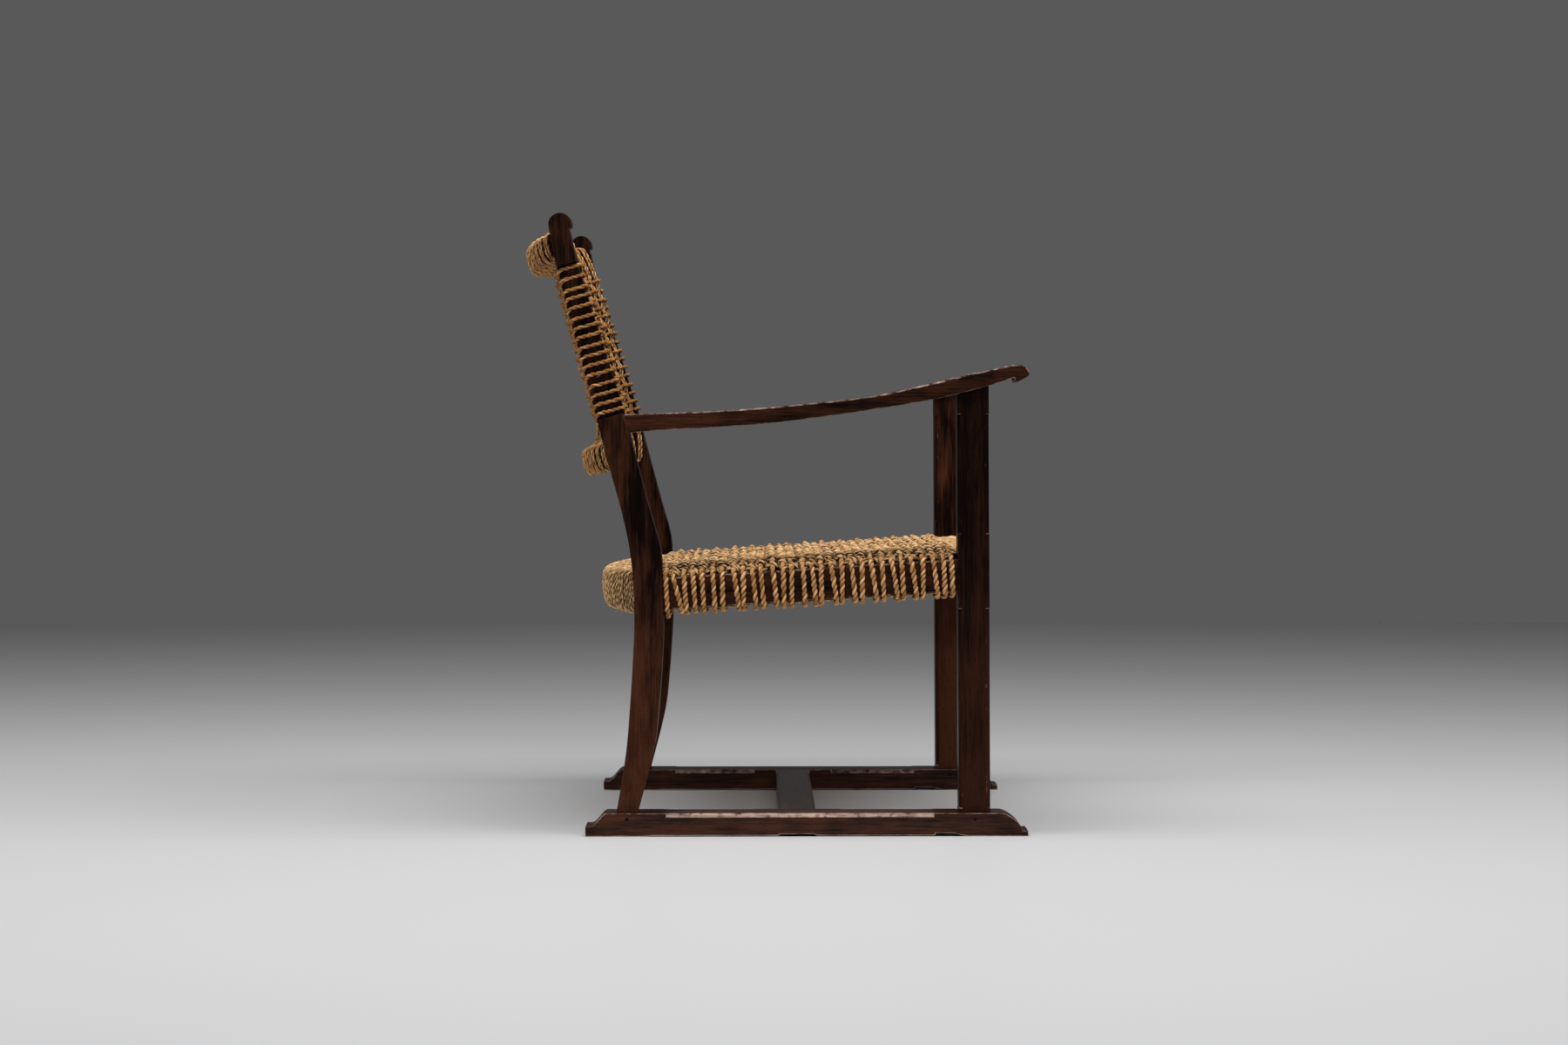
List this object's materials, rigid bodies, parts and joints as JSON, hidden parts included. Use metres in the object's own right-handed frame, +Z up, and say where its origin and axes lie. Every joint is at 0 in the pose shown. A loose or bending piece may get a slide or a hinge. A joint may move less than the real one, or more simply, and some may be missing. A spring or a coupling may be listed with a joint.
{
  "type": "rustic easy chair",
  "caption": "Low open-arm easy chair on sled runners: dark stained wooden frame with a twisted straw rope seat and a bowed rope back.",
  "frame": {"origin": "on the floor, under the middle of the chair's box", "axes": "+Z up, -Y the way a sitter faces, -X the sitter's right"},
  "size_m": [0.6, 0.713, 0.8609],
  "materials": {
    "frame_wood": "dark stain under worn varnish",
    "runner_wood": "dark stain, edges worn pale",
    "arm_wood": "dark stain, polished by hands",
    "rail_wood": "dark stain, matt",
    "peg_wood": "dark stain, end grain",
    "straw_rope": "dry twisted straw"
  },
  "bodies": {
    "root": {"runner_right": "runner_wood", "runner_left": "runner_wood", "cross_stretcher": "frame_wood", "front_leg_right": "frame_wood", "front_leg_left": "frame_wood", "rear_post_right": "frame_wood", "rear_post_left": "frame_wood", "arm_right": "arm_wood", "arm_left": "arm_wood", "seat_front_rail": "rail_wood", "seat_rear_rail": "rail_wood", "seat_side_rail_right": "rail_wood", "seat_side_rail_left": "rail_wood", "back_top_rail": "rail_wood", "back_lower_rail": "rail_wood", "front_peg_right": "peg_wood", "front_peg_left": "peg_wood", "rear_peg_right": "peg_wood", "rear_peg_left": "peg_wood", "seat_warp": "straw_rope", "seat_weft": "straw_rope", "back_warp": "straw_rope", "back_weft": "straw_rope"}
  },
  "joints": []
}
